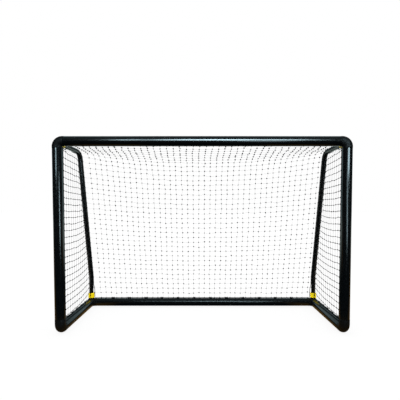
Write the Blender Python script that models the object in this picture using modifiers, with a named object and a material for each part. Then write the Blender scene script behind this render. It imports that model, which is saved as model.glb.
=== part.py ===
"""Freestanding football goal, 3 m wide and 2 m high, with a net.

A ring of round tubes joined by moulded corners: two posts and a crossbar in
front, two side bars and a rear bar on the ground. A bent brace on each side
runs from the back of the top corner to the rear corner. Both brace ends slip
over a spigot and are locked by a sprung pin that a push button in a collar
frees. The net hangs behind the crossbar, between the braces and on hooks.

Metres, +Z up. The origin is on the ground under the middle of the goal, and
the mouth faces -Y.
"""

import math

import bmesh
import bpy
from mathutils import Matrix, Vector

# Whole goal
GOAL_WIDTH = 3.0
GOAL_HEIGHT = 2.0
GOAL_DEPTH = 1.0

# Main tubes
TUBE_RADIUS = 0.050
TUBE_WALL = 0.0012

# Moulded corners: a little thicker than the tubes, with a small inner fillet
CORNER_STEP = 0.0008
CORNER_FILLET = 0.0052
CORNER_LEAD = 0.014
FRONT_FOOT_LEAD = 0.049
SPIGOT_LENGTH = 0.080
CORNER_WALL = 0.005

# Braces, with places measured from the post's axis and from the ground
BRACE_RADIUS = 0.026
BRACE_WALL = 0.0015
BRACE_DROP = 0.013
BRACE_APEX_REACH = 0.564
BRACE_TOP_BEND = 0.110
BRACE_FOOT_HEIGHT = 0.380
BRACE_FOOT_BEND = 0.300

# Brace socket: a round seat that stands proud of the corner, and a plug on it
SEAT_RISE = 0.0092
SEAT_INSET = 0.0015
PLUG_LENGTH = 0.090
PLUG_WALL = 0.003
PLUG_FLOOR = 0.002

# Collar on the brace end
COLLAR_WALL = 0.0104
COLLAR_LENGTH = 0.060
COLLAR_EDGE = 0.003

# Push button and the pin behind it
BUTTON_HEIGHT = 0.038
BUTTON_RADIUS = 0.007
BUTTON_PROUD = 0.0025
BUTTON_EDGE = 0.0015
BUTTON_LIP_WIDTH = 0.0018
BUTTON_LIP = 0.0018
BUTTON_TRAVEL = 0.002
PIN_RADIUS = 0.0048
PIN_HEAD_WIDTH = 0.0037
PIN_HEAD = 0.002
PIN_HEAD_DEPTH = 0.0030

# Leaf spring
SPRING_THICKNESS = 0.0008
SPRING_WIDTH = 0.010
SPRING_BEND = 0.003
SPRING_BEND_TURN = math.radians(135)
SPRING_LEG = 0.050
SPRING_TAIL = 0.009

# Net hooks, spaced evenly between the end margins
REAR_HOOK_COUNT = 12
REAR_HOOK_MARGIN = 0.284
REAR_HOOK_WIDTH = 0.037
REAR_HOOK_LOBE = 0.0085
REAR_HOOK_RISE = 0.0075
REAR_HOOK_WAIST = 0.0025
REAR_HOOK_OPEN = math.radians(20)
REAR_HOOK_THICKNESS = 0.012
SIDE_HOOK_COUNT = 6
SIDE_HOOK_FRONT_MARGIN = 0.105
SIDE_HOOK_REAR_MARGIN = 0.145
SIDE_HOOK_LENGTH = 0.014
SIDE_HOOK_WIDTH = 0.012
SIDE_HOOK_HEIGHT = 0.012
SIDE_HOOK_NECK = 0.004
SIDE_HOOK_LIP = 0.003
SIDE_HOOK_LEAN = math.radians(32)

# Net
NET_STRAND = 0.006
NET_BORDER = 0.009
NET_THICKNESS = 0.003
NET_COLUMNS = 14
NET_ROWS = 10
NET_SIDE_COLUMNS = 5
NET_NARROW_ROWS = 1.1
NET_SAG = 0.070
NET_HOOK_ROOM = 0.0094
NET_BUTTON_ROOM = 0.012

# Fits
GAP = 0.0003
SEAT_GAP = 0.0004
SLIP_FIT = 0.0011
PIN_FIT = 0.0006
WIDE_FIT = 0.0008

# Facets
TUBE_SIDES = 24
BORE_SIDES = 16
BRACE_SIDES = 16
SMALL_SIDES = 12
CORNER_STEPS = 5
BRACE_TOP_STEPS = 5
BRACE_FOOT_STEPS = 2
SPRING_STEPS = 5
LOBE_STEPS = 7

# Worked out from the sizes above
POST_X = GOAL_WIDTH / 2 - TUBE_RADIUS
POST_Y = TUBE_RADIUS - GOAL_DEPTH / 2
REAR_Y = GOAL_DEPTH / 2 - TUBE_RADIUS
GROUND_Z = TUBE_RADIUS
CROSSBAR_Z = GOAL_HEIGHT - TUBE_RADIUS
BRACE_TOP_Z = CROSSBAR_Z - BRACE_DROP
CORNER_RADIUS = TUBE_RADIUS + CORNER_STEP
CORNER_BEND = CORNER_RADIUS + CORNER_FILLET
SEAM = CORNER_BEND + CORNER_LEAD
FRONT_FOOT_SEAM = CORNER_BEND + FRONT_FOOT_LEAD
TUBE_BORE = TUBE_RADIUS - TUBE_WALL
SPIGOT_RADIUS = TUBE_BORE - SLIP_FIT
CORNER_BORE = SPIGOT_RADIUS - CORNER_WALL
BRACE_BORE = BRACE_RADIUS - BRACE_WALL
PLUG_RADIUS = BRACE_BORE - SLIP_FIT
PLUG_BORE = PLUG_RADIUS - PLUG_WALL
COLLAR_BORE = BRACE_RADIUS + SLIP_FIT
COLLAR_RADIUS = COLLAR_BORE + COLLAR_WALL
SEAT_RADIUS = COLLAR_RADIUS - SEAT_INSET
SOCKET_SEAT = CORNER_RADIUS + SEAT_RISE
SEAT_ROOT = math.sqrt(CORNER_RADIUS ** 2 - SEAT_RADIUS ** 2) - CORNER_WALL
PLUG_BORE_FLOOR = SOCKET_SEAT + PLUG_FLOOR
BUTTON_AXIS = SOCKET_SEAT + BUTTON_HEIGHT
BUTTON_LIP_RADIUS = BUTTON_RADIUS + BUTTON_LIP_WIDTH
BUTTON_LIP_TOP = BRACE_RADIUS + BUTTON_TRAVEL + SLIP_FIT + BUTTON_LIP
BUTTON_TIP = COLLAR_RADIUS + BUTTON_PROUD
PIN_HOLE = PIN_RADIUS + WIDE_FIT
NOSE_RADIUS = PIN_RADIUS - PIN_FIT
PIN_HEAD_RADIUS = PIN_RADIUS + PIN_HEAD_WIDTH
PIN_HEAD_OUTER = PLUG_BORE - PIN_HEAD_DEPTH
PIN_HEAD_INNER = PIN_HEAD_OUTER - PIN_HEAD

FINISHES = {
    "powder_coated_steel": ((0.010, 0.015, 0.016), 0.28, 0.0),
    "moulded_black": ((0.011, 0.015, 0.016), 0.55, 0.0),
    "moulded_yellow": ((1.0, 0.80, 0.01), 0.35, 0.0),
    "button_black": ((0.008, 0.008, 0.009), 0.45, 0.0),
    "spring_steel": ((0.45, 0.45, 0.46), 0.30, 1.0),
    "net_cord": ((0.015, 0.016, 0.017), 0.80, 0.0),
}


def clear_scene():
    for old in list(bpy.data.objects):
        bpy.data.objects.remove(old, do_unlink=True)


def new_collection(name):
    found = bpy.data.collections.get(name)
    if found is None:
        found = bpy.data.collections.new(name)
        bpy.context.scene.collection.children.link(found)
    return found


def finish_material(name):
    found = bpy.data.materials.get(name)
    if found is None:
        colour, roughness, metallic = FINISHES[name]
        found = bpy.data.materials.new(name)
        found.use_nodes = True
        shader = found.node_tree.nodes["Principled BSDF"]
        shader.inputs["Base Color"].default_value = (*colour, 1.0)
        shader.inputs["Roughness"].default_value = roughness
        shader.inputs["Metallic"].default_value = metallic
    return found


def add_part(name, mesh, finish, place=Matrix.Identity(4)):
    """Put a mesh in the goal's collection as a named piece."""
    piece = bpy.data.objects.new(name, mesh)
    piece.matrix_world = place
    mesh.materials.clear()
    mesh.materials.append(finish_material(finish))
    new_collection("football_goal").objects.link(piece)
    return piece


def add_cutter(name, mesh, place=Matrix.Identity(4)):
    """A helper solid that another piece is cut by or joined with."""
    helper = bpy.data.objects.new(name, mesh)
    helper.matrix_world = place
    helper.hide_render = True
    helper.display_type = "WIRE"
    new_collection("helpers").objects.link(helper)
    return helper


def smooth(mesh, angle=30):
    mesh.shade_smooth()
    mesh.set_sharp_from_angle(angle=math.radians(angle))


def boolean(piece, helper, operation):
    step = piece.modifiers.new(helper.name, "BOOLEAN")
    step.operation = operation
    step.solver = "EXACT"
    step.object = helper


def rod_mesh(name, radius, low, high, sides):
    """A solid round bar along Z from low to high."""
    shape = bmesh.new()
    bmesh.ops.create_cone(
        shape, cap_ends=True, segments=sides, radius1=radius, radius2=radius,
        depth=high - low, matrix=Matrix.Translation((0, 0, (low + high) / 2)),
    )
    mesh = bpy.data.meshes.new(name)
    shape.to_mesh(mesh)
    shape.free()
    smooth(mesh)
    return mesh


def box_mesh(name, low, high):
    shape = bmesh.new()
    bmesh.ops.create_cube(shape, size=1.0)
    low, high = Vector(low), Vector(high)
    for corner in shape.verts:
        for axis in range(3):
            middle = (low[axis] + high[axis]) / 2
            corner.co[axis] = middle + corner.co[axis] * (high[axis] - low[axis])
    mesh = bpy.data.meshes.new(name)
    shape.to_mesh(mesh)
    shape.free()
    return mesh


def bent_rod_mesh(name, points, radius, sides, capped=True):
    """A round bar along a path, from a bevelled curve, or only its side if not capped."""
    curve = bpy.data.curves.new(name, "CURVE")
    curve.dimensions = "3D"
    curve.bevel_depth = radius
    curve.bevel_resolution = (sides - 4) // 2
    curve.use_fill_caps = capped
    spline = curve.splines.new("POLY")
    spline.points.add(len(points) - 1)
    for point, place in zip(spline.points, points):
        point.co = (*place, 1.0)
    holder = bpy.data.objects.new(name, curve)
    bpy.context.scene.collection.objects.link(holder)
    bpy.context.view_layer.update()
    evaluated = holder.evaluated_get(bpy.context.evaluated_depsgraph_get())
    mesh = bpy.data.meshes.new_from_object(evaluated)
    bpy.data.objects.remove(holder)
    shape = bmesh.new()
    shape.from_mesh(mesh)
    bmesh.ops.remove_doubles(shape, verts=shape.verts, dist=1e-6)
    bmesh.ops.recalc_face_normals(shape, faces=shape.faces)
    shape.to_mesh(mesh)
    shape.free()
    smooth(mesh)
    return mesh


def turned_piece(name, profile, finish, place, sides):
    """Turn a closed profile of (radius, height) points round Z.

    The profile runs down its outer side first.
    """
    mesh = bpy.data.meshes.new(name)
    points = [(radius, 0.0, height) for radius, height in profile]
    edges = [(i, (i + 1) % len(points)) for i in range(len(points))]
    mesh.from_pydata(points, edges, [])
    piece = add_part(name, mesh, finish, place)
    turn = piece.modifiers.new("turn", "SCREW")
    turn.steps = sides
    turn.render_steps = sides
    turn.use_merge_vertices = True
    turn.merge_threshold = 1e-5
    turn.use_smooth_shade = False
    return piece


def along(start, direction):
    """A place at start whose Z axis points along direction."""
    turn = Vector((0, 0, 1)).rotation_difference(Vector(direction))
    return Matrix.Translation(start) @ turn.to_matrix().to_4x4()


def add_tube(name, start, end):
    """A straight main tube between two seams, open at both ends."""
    start, end = Vector(start), Vector(end)
    length = (end - start).length - 2 * GAP
    direction = (end - start).normalized()
    profile = [
        (TUBE_RADIUS, length), (TUBE_RADIUS, 0.0),
        (TUBE_BORE, 0.0), (TUBE_BORE, length),
    ]
    place = along(start + direction * GAP, direction)
    return turned_piece(name, profile, "powder_coated_steel", place, TUBE_SIDES)


def arc_points(centre, radius, first, last, steps):
    """Points of an arc in a plane, given as two angles."""
    return [
        (centre[0] + radius * math.cos(angle), centre[1] + radius * math.sin(angle))
        for angle in (first + (last - first) * i / steps for i in range(steps + 1))
    ]


def elbow_path(corner, leg_a, leg_b, reach_a, reach_b):
    """Path round a corner: straight, bend, straight.

    leg_a and leg_b are unit directions away from the corner, and the reaches
    are how far the path goes along each.
    """
    corner, leg_a, leg_b = Vector(corner), Vector(leg_a), Vector(leg_b)
    bend = [
        corner + leg_a * CORNER_BEND + leg_b * CORNER_BEND
        - leg_b * CORNER_BEND * math.cos(angle) - leg_a * CORNER_BEND * math.sin(angle)
        for angle in (math.pi / 2 * i / CORNER_STEPS for i in range(CORNER_STEPS + 1))
    ]
    return [corner + leg_a * reach_a, *bend, corner + leg_b * reach_b]


def add_corner(name, corner, leg_a, leg_b, seam_a, seam_b):
    """A hollow moulded elbow with a spigot for the tube on each side."""
    path = elbow_path(corner, leg_a, leg_b, seam_a, seam_b)
    body = bent_rod_mesh(name, path, CORNER_RADIUS, TUBE_SIDES)
    piece = add_part(name, body, "moulded_black")
    for side, leg, seam in (("a", leg_a, seam_a), ("b", leg_b, seam_b)):
        spigot = rod_mesh(
            f"{name}_spigot_{side}", SPIGOT_RADIUS,
            seam - CORNER_LEAD / 2, seam + SPIGOT_LENGTH, TUBE_SIDES,
        )
        boolean(piece, add_cutter(spigot.name, spigot, along(corner, leg)), "UNION")
    return piece


def hollow_corner(piece, corner, leg_a, leg_b, seam_a, seam_b):
    """Bore an elbow through, past both spigot ends."""
    past = SPIGOT_LENGTH + CORNER_LEAD
    path = elbow_path(corner, leg_a, leg_b, seam_a + past, seam_b + past)
    bore = bent_rod_mesh(f"{piece.name}_bore", path, CORNER_BORE, BORE_SIDES)
    boolean(piece, add_cutter(bore.name, bore), "DIFFERENCE")


def flatten_sole(piece, corner):
    """Cut the underside of a ground corner flat, level with the tubes."""
    reach = SEAM + SPIGOT_LENGTH
    low = (corner[0] - reach, corner[1] - reach, -CORNER_RADIUS)
    high = (corner[0] + reach, corner[1] + reach, 0.0)
    boolean(piece, add_cutter(f"{piece.name}_sole", box_mesh("sole", low, high)), "DIFFERENCE")


def add_socket(piece, place):
    """Join a brace socket to a corner: the collar's seat and the brace's plug."""
    name = piece.name
    seat = rod_mesh(f"{name}_seat", SEAT_RADIUS, SEAT_ROOT, SOCKET_SEAT - GAP, TUBE_SIDES)
    boolean(piece, add_cutter(seat.name, seat, place), "UNION")
    plug = rod_mesh(
        f"{name}_plug", PLUG_RADIUS, SEAT_ROOT + GAP, SOCKET_SEAT + PLUG_LENGTH, BRACE_SIDES,
    )
    boolean(piece, add_cutter(plug.name, plug, place), "UNION")


def bore_socket(piece, place):
    """Hollow the plug from its end, and cut the pin's hole in its wall."""
    name = piece.name
    top = SOCKET_SEAT + PLUG_LENGTH + PLUG_WALL
    bore = rod_mesh(f"{name}_plug_bore", PLUG_BORE, PLUG_BORE_FLOOR, top, BRACE_SIDES)
    boolean(piece, add_cutter(bore.name, bore, place), "DIFFERENCE")
    cut_pin_hole(piece, place, PIN_HOLE, 0.0, BRACE_RADIUS, "pin_hole")


def button_frame(place):
    """Place of the button's axis: its Z points outwards through the collar."""
    turn = Matrix.Rotation(math.pi / 2, 4, "X")
    return place @ Matrix.Translation((0, 0, BUTTON_AXIS)) @ turn


def cut_pin_hole(piece, place, radius, low, high, label):
    hole = rod_mesh(f"{piece.name}_{label}", radius, low, high, SMALL_SIDES)
    boolean(piece, add_cutter(hole.name, hole, button_frame(place)), "DIFFERENCE")


def brace_path():
    """Centre line of a brace as (y, z) points, from its top end to its foot."""
    apex = Vector((POST_Y + BRACE_APEX_REACH, BRACE_TOP_Z))
    knee = Vector((REAR_Y, BRACE_FOOT_HEIGHT))
    slope = (knee - apex).normalized()
    lean = math.atan2(slope.x, -slope.y)
    top_tangent = BRACE_TOP_BEND * math.tan((math.pi / 2 - lean) / 2)
    foot_tangent = BRACE_FOOT_BEND * math.tan(lean / 2)
    top_centre = (apex.x - top_tangent, apex.y - BRACE_TOP_BEND)
    top_bend = arc_points(top_centre, BRACE_TOP_BEND, math.pi / 2, lean, BRACE_TOP_STEPS)
    foot_centre = (REAR_Y - BRACE_FOOT_BEND, knee.y - foot_tangent)
    foot_bend = arc_points(foot_centre, BRACE_FOOT_BEND, lean, 0.0, BRACE_FOOT_STEPS)
    start = (POST_Y + SOCKET_SEAT + GAP, BRACE_TOP_Z)
    end = (REAR_Y, GROUND_Z + SOCKET_SEAT + GAP)
    return [start, *top_bend, *foot_bend, end]


def add_brace(name, x, sockets):
    """A bent tube from the top corner's plug to the rear corner's plug."""
    path = [Vector((x, y, z)) for y, z in brace_path()]
    outside = bent_rod_mesh(name, path, BRACE_RADIUS, BRACE_SIDES, capped=False)
    piece = add_part(name, outside, "powder_coated_steel")
    thicken(piece, BRACE_WALL, -1.0)
    for label, place in sockets.items():
        cut_pin_hole(piece, place, PIN_HOLE, PLUG_BORE, COLLAR_RADIUS, f"{label}_hole")
    return piece


def add_collar(name, place):
    """The collar round a brace end, with the button's stepped hole."""
    low = SOCKET_SEAT
    high = SOCKET_SEAT + COLLAR_LENGTH
    profile = [
        (COLLAR_RADIUS - COLLAR_EDGE, high), (COLLAR_RADIUS, high - COLLAR_EDGE),
        (COLLAR_RADIUS, low + COLLAR_EDGE), (COLLAR_RADIUS - COLLAR_EDGE, low),
        (COLLAR_BORE, low), (COLLAR_BORE, high),
    ]
    piece = turned_piece(name, profile, "moulded_yellow", place, TUBE_SIDES)
    hole = BUTTON_RADIUS + PIN_FIT
    cut_pin_hole(piece, place, hole, BRACE_RADIUS, BUTTON_TIP, "button_hole")
    hole = BUTTON_LIP_RADIUS + PIN_FIT
    inside = BRACE_RADIUS - BUTTON_LIP_RADIUS
    cut_pin_hole(piece, place, hole, inside, BUTTON_LIP_TOP + GAP, "lip_hole")
    return piece


def add_button(name, place):
    """Push button: a cap with a lip that keeps it in, and a nose."""
    tip = BUTTON_TIP
    lip = BUTTON_LIP_TOP
    nose = BRACE_RADIUS + GAP
    profile = [
        (0.0, tip), (BUTTON_RADIUS - BUTTON_EDGE, tip), (BUTTON_RADIUS, tip - BUTTON_EDGE),
        (BUTTON_RADIUS, lip), (BUTTON_LIP_RADIUS, lip), (BUTTON_LIP_RADIUS, lip - BUTTON_LIP),
        (NOSE_RADIUS, lip - BUTTON_LIP), (NOSE_RADIUS, nose), (0.0, nose),
    ]
    return solid_of_revolution(name, profile, "button_black", button_frame(place))


def add_pin(name, place):
    """Lock pin: its tip fills the brace's hole, and its head rests on the spring."""
    tip = BRACE_RADIUS - GAP
    profile = [
        (0.0, tip), (PIN_RADIUS, tip), (PIN_RADIUS, PIN_HEAD_OUTER),
        (PIN_HEAD_RADIUS, PIN_HEAD_OUTER), (PIN_HEAD_RADIUS, PIN_HEAD_INNER),
        (0.0, PIN_HEAD_INNER),
    ]
    return solid_of_revolution(name, profile, "spring_steel", button_frame(place))


def solid_of_revolution(name, profile, finish, place):
    """Turn an open profile whose ends lie on the axis."""
    mesh = bpy.data.meshes.new(name)
    points = [(radius, 0.0, height) for radius, height in profile]
    mesh.from_pydata(points, [(i, i + 1) for i in range(len(points) - 1)], [])
    piece = add_part(name, mesh, finish, place)
    turn = piece.modifiers.new("turn", "SCREW")
    turn.steps = SMALL_SIDES
    turn.render_steps = SMALL_SIDES
    turn.use_merge_vertices = True
    turn.merge_threshold = 1e-5
    return piece


def add_spring(name, place):
    """V-shaped leaf spring inside the plug: one leg on the wall, one on the pin."""
    wall = math.sqrt(PLUG_BORE ** 2 - (SPRING_WIDTH / 2) ** 2) * math.cos(math.pi / BRACE_SIDES)
    back = SPRING_THICKNESS / 2 + SEAT_GAP - wall
    front = PIN_HEAD_INNER - SEAT_GAP - SPRING_THICKNESS / 2
    floor = PLUG_BORE_FLOOR + SPRING_THICKNESS
    turn_centre = (back + SPRING_BEND, floor + SPRING_BEND)
    bend = arc_points(
        turn_centre, SPRING_BEND, math.pi, math.pi + SPRING_BEND_TURN, SPRING_STEPS,
    )
    path = [
        (back, floor + SPRING_BEND + SPRING_LEG), *bend,
        (front, BUTTON_AXIS - SPRING_TAIL), (front, BUTTON_AXIS + SPRING_TAIL),
    ]
    shape = bmesh.new()
    rows = [
        [shape.verts.new((side * SPRING_WIDTH / 2, -out, up)) for side in (-1, 1)]
        for out, up in path
    ]
    for near, far in zip(rows, rows[1:]):
        shape.faces.new((near[0], near[1], far[1], far[0]))
    mesh = bpy.data.meshes.new(name)
    shape.to_mesh(mesh)
    shape.free()
    piece = add_part(name, mesh, "spring_steel", place)
    thicken(piece, SPRING_THICKNESS)
    return piece


def thicken(piece, thickness, side=0.0):
    """Give a surface a thickness: about it, or all on its inside for a side of -1."""
    shell = piece.modifiers.new("thickness", "SOLIDIFY")
    shell.thickness = thickness
    shell.offset = side
    shell.use_even_offset = True


def outline_piece(name, outline, thickness, finish, place):
    """A flat outline in XZ, extruded along Y."""
    shape = bmesh.new()
    front = [shape.verts.new((x, -thickness / 2, z)) for x, z in outline]
    face = shape.faces.new(front)
    grown = bmesh.ops.extrude_face_region(shape, geom=[face])
    moved = [item for item in grown["geom"] if isinstance(item, bmesh.types.BMVert)]
    bmesh.ops.translate(shape, verts=moved, vec=(0, thickness, 0))
    bmesh.ops.recalc_face_normals(shape, faces=shape.faces)
    mesh = bpy.data.meshes.new(name)
    shape.to_mesh(mesh)
    shape.free()
    return add_part(name, mesh, finish, place)


def add_rear_hook(name, x):
    """Two-lobed net hook on top of the rear bar."""
    lobe_x = REAR_HOOK_WIDTH / 2 - REAR_HOOK_LOBE
    first, last = math.pi + REAR_HOOK_OPEN, -REAR_HOOK_OPEN
    left = arc_points((-lobe_x, REAR_HOOK_RISE), REAR_HOOK_LOBE, first, last, LOBE_STEPS)
    right = arc_points((lobe_x, REAR_HOOK_RISE), REAR_HOOK_LOBE, first, last, LOBE_STEPS)
    base = REAR_HOOK_WIDTH / 2 - REAR_HOOK_WAIST
    outline = [(-base, 0.0), *left, *right, (base, 0.0)]
    place = Matrix.Translation((x, REAR_Y, GROUND_Z + TUBE_RADIUS + GAP))
    return outline_piece(name, outline, REAR_HOOK_THICKNESS, "moulded_black", place)


def add_side_hook(name, side, y):
    """Small net hook on the outer shoulder of a side bar."""
    half = SIDE_HOOK_WIDTH / 2
    shoulder = SIDE_HOOK_HEIGHT - SIDE_HOOK_LIP
    outline = [
        (-half, 0.0), (half, 0.0), (half, SIDE_HOOK_NECK), (half + SIDE_HOOK_LIP, shoulder),
        (half, SIDE_HOOK_HEIGHT), (SIDE_HOOK_LIP - half, SIDE_HOOK_HEIGHT), (-half, shoulder),
    ]
    place = (
        Matrix.Translation((side * POST_X, y, GROUND_Z))
        @ Matrix.Rotation(side * SIDE_HOOK_LEAN, 4, "Y")
        @ Matrix.Translation((0, 0, TUBE_RADIUS + GAP))
        @ Matrix.Diagonal((side, side, 1, 1))
    )
    return outline_piece(name, outline, SIDE_HOOK_LENGTH, "moulded_black", place)


def net_lines(count, span):
    """Edges of the strands across a span: border, strands, border, as shares."""
    border = NET_BORDER / span
    strand = NET_STRAND / span
    lines = [0.0, border]
    for i in range(1, count):
        lines += [i / count - strand / 2, i / count + strand / 2]
    return lines + [1.0 - border, 1.0]


def add_net(name, columns, rows, across, up, surface):
    """A knotted net as a sheet with a square hole in each mesh.

    surface turns two shares, across and up, into a point.
    """
    u_lines = net_lines(columns, across)
    v_lines = net_lines(rows, up)
    shape = bmesh.new()
    grid = [[shape.verts.new(surface(u, v)) for u in u_lines] for v in v_lines]
    for row in range(len(v_lines) - 1):
        for column in range(len(u_lines) - 1):
            if row % 2 == 0 or column % 2 == 0:
                low, high = grid[row], grid[row + 1]
                shape.faces.new((low[column], low[column + 1], high[column + 1], high[column]))
    mesh = bpy.data.meshes.new(name)
    shape.to_mesh(mesh)
    shape.free()
    piece = add_part(name, mesh, "net_cord")
    thicken(piece, NET_THICKNESS)
    return piece


def path_point(points, share):
    """The point at a share of a path's length."""
    points = [Vector(point) for point in points]
    lengths = [(b - a).length for a, b in zip(points, points[1:])]
    left = share * sum(lengths)
    for a, b, length in zip(points, points[1:], lengths):
        if left <= length:
            return a + (b - a) * (left / length)
        left -= length
    return points[-1]


def path_length(points):
    return sum((Vector(b) - Vector(a)).length for a, b in zip(points, points[1:]))


def brace_offset(distance):
    """The brace's centre line moved inwards, towards the posts and the ground."""
    points = [Vector(point) for point in brace_path()]
    moved = []
    for i, point in enumerate(points):
        before = points[max(i - 1, 0)]
        after = points[min(i + 1, len(points) - 1)]
        direction = (after - before).normalized()
        moved.append(point + Vector((direction.y, -direction.x)) * distance)
    return moved


def add_back_net():
    """Roof and back of the net, from the crossbar's back to the rear bar."""
    clearance = SEAT_GAP + NET_THICKNESS / 2
    crossbar_back = math.sqrt(CORNER_RADIUS ** 2 - (BRACE_DROP - NET_THICKNESS / 2) ** 2)
    start = Vector((POST_Y + crossbar_back + SEAT_GAP, BRACE_TOP_Z))
    end_radius = CORNER_RADIUS + clearance
    end_back = REAR_HOOK_THICKNESS / 2 + NET_HOOK_ROOM
    end = Vector((REAR_Y + end_back, GROUND_Z + math.sqrt(end_radius ** 2 - end_back ** 2)))
    middle = [Vector(point) for point in brace_path()[1:-1]]
    profile = [start, *middle, end]
    length = path_length(profile)
    brace_side = POST_X - BRACE_RADIUS - SEAT_GAP
    collar_side = POST_X - COLLAR_RADIUS - SEAT_GAP
    chord = (end - start).normalized()
    inward = Vector((chord.y, -chord.x))

    def surface(u, v):
        share = 1 - v
        point = path_point(profile, share)
        rows_past_collar = min(share, v) * NET_ROWS - NET_NARROW_ROWS
        half = collar_side + (brace_side - collar_side) * min(1.0, max(0.0, rows_past_collar))
        across = 2 * u - 1
        sag = NET_SAG * math.sin(math.pi * share) * (1 - across ** 2)
        place = point + inward * sag
        return (across * half, place.x, place.y)

    return add_net("net_back", NET_COLUMNS, NET_ROWS, 2 * brace_side, length, surface)


def add_side_net(name, side):
    """Side of the net, in the plane of the post and the brace."""
    fillet = CORNER_BEND - CORNER_RADIUS
    offset = CORNER_BEND - fillet * math.cos(math.pi / 4) + SEAT_GAP
    front = POST_Y + offset
    low = GROUND_Z + offset
    button_room = BUTTON_TIP + NET_BUTTON_ROOM
    top = BRACE_TOP_Z - button_room
    inner = brace_offset(BRACE_RADIUS + SEAT_GAP)
    bend_middle = 1 + BRACE_TOP_STEPS // 2
    rear_edge = inner[bend_middle:-1]
    collar_front = REAR_Y - button_room
    collar_top = GROUND_Z + SOCKET_SEAT + COLLAR_LENGTH
    rear_edge += [
        Vector((REAR_Y - BRACE_RADIUS - SEAT_GAP, collar_top + BRACE_RADIUS)),
        Vector((collar_front, collar_top)),
        Vector((collar_front, low)),
    ]
    length = path_length(rear_edge)

    def surface(u, v):
        rear = path_point(rear_edge, 1 - v)
        front_z = low + (top - low) * v
        y = front + (rear.x - front) * u
        z = front_z + (rear.y - front_z) * u
        return (side * POST_X, y, z)

    across = collar_front - front
    return add_net(name, NET_SIDE_COLUMNS, NET_ROWS, across, length, surface)


def build_sockets(side):
    """Places of the two brace sockets on one side: Z along the brace."""
    upper = (
        Matrix.Translation((side * POST_X, POST_Y, BRACE_TOP_Z))
        @ Matrix.Rotation(-math.pi / 2, 4, "X")
        @ Matrix.Rotation(math.pi, 4, "Z")
    )
    lower = Matrix.Translation((side * POST_X, REAR_Y, GROUND_Z))
    return {"upper": upper, "lower": lower}


def build_frame():
    top, ground = CROSSBAR_Z, GROUND_Z
    add_tube("crossbar", (SEAM - POST_X, POST_Y, top), (POST_X - SEAM, POST_Y, top))
    add_tube("rear_bar", (SEAM - POST_X, REAR_Y, ground), (POST_X - SEAM, REAR_Y, ground))
    for label, side in (("left", -1), ("right", 1)):
        x = side * POST_X
        inwards = (-side, 0, 0)
        add_tube(f"{label}_post", (x, POST_Y, ground + FRONT_FOOT_SEAM), (x, POST_Y, top - SEAM))
        add_tube(f"{label}_side_bar", (x, POST_Y + SEAM, ground), (x, REAR_Y - SEAM, ground))
        sockets = build_sockets(side)

        corner = Vector((x, POST_Y, top))
        legs = (corner, inwards, (0, 0, -1), SEAM, SEAM)
        piece = add_corner(f"{label}_top_corner", *legs)
        add_socket(piece, sockets["upper"])
        hollow_corner(piece, *legs)
        bore_socket(piece, sockets["upper"])

        corner = Vector((x, REAR_Y, ground))
        legs = (corner, inwards, (0, -1, 0), SEAM, SEAM)
        piece = add_corner(f"{label}_rear_corner", *legs)
        add_socket(piece, sockets["lower"])
        hollow_corner(piece, *legs)
        bore_socket(piece, sockets["lower"])
        flatten_sole(piece, corner)

        corner = Vector((x, POST_Y, ground))
        legs = (corner, (0, 0, 1), (0, 1, 0), FRONT_FOOT_SEAM, SEAM)
        piece = add_corner(f"{label}_front_corner", *legs)
        hollow_corner(piece, *legs)
        flatten_sole(piece, corner)

        add_brace(f"{label}_brace", x, sockets)
        for level, place in sockets.items():
            add_collar(f"{label}_{level}_collar", place)
            add_button(f"{label}_{level}_button", place)
            add_pin(f"{label}_{level}_lock_pin", place)
            add_spring(f"{label}_{level}_leaf_spring", place)


def spaced(count, first, last):
    """Evenly spaced places from first to last."""
    return [first + (last - first) * i / (count - 1) for i in range(count)]


def build_hooks():
    end = POST_X - REAR_HOOK_MARGIN
    for i, x in enumerate(spaced(REAR_HOOK_COUNT, -end, end)):
        add_rear_hook(f"rear_net_hook_{i + 1:02d}", x)
    front, rear = POST_Y + SIDE_HOOK_FRONT_MARGIN, REAR_Y - SIDE_HOOK_REAR_MARGIN
    for label, side in (("left", -1), ("right", 1)):
        for i, y in enumerate(spaced(SIDE_HOOK_COUNT, front, rear)):
            add_side_hook(f"{label}_net_hook_{i + 1}", side, y)


def build_net():
    add_back_net()
    add_side_net("net_left", -1)
    add_side_net("net_right", 1)


def main():
    clear_scene()
    build_frame()
    build_hooks()
    build_net()


main()
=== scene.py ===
"""Looks of a freestanding football goal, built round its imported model.

Smooth powder-coated tubes, moulded corners, bent braces with yellow locking
collars, and a knotted net that hangs from the crossbar, the braces and the
hooks. Metres, +Z up, and the mouth faces -Y.
"""

import math
import random

import bmesh
import bpy
from mathutils import Euler, Matrix, Vector
from mathutils.geometry import interpolate_bezier


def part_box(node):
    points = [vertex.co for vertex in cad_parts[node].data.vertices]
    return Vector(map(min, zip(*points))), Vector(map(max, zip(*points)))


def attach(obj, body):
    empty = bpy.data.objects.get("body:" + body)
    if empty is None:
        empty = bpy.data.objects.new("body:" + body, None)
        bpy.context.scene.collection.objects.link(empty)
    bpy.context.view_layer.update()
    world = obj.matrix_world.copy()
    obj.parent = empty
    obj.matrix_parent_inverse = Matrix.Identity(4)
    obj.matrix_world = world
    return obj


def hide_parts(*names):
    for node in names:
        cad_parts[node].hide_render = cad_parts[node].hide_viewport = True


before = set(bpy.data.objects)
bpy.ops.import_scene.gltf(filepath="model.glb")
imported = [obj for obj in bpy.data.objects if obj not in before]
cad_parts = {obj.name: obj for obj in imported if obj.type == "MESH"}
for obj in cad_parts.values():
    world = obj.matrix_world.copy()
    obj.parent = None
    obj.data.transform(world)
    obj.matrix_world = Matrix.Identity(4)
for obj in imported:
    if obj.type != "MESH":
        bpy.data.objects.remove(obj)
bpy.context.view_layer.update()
SCENE = bpy.context.scene
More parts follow.
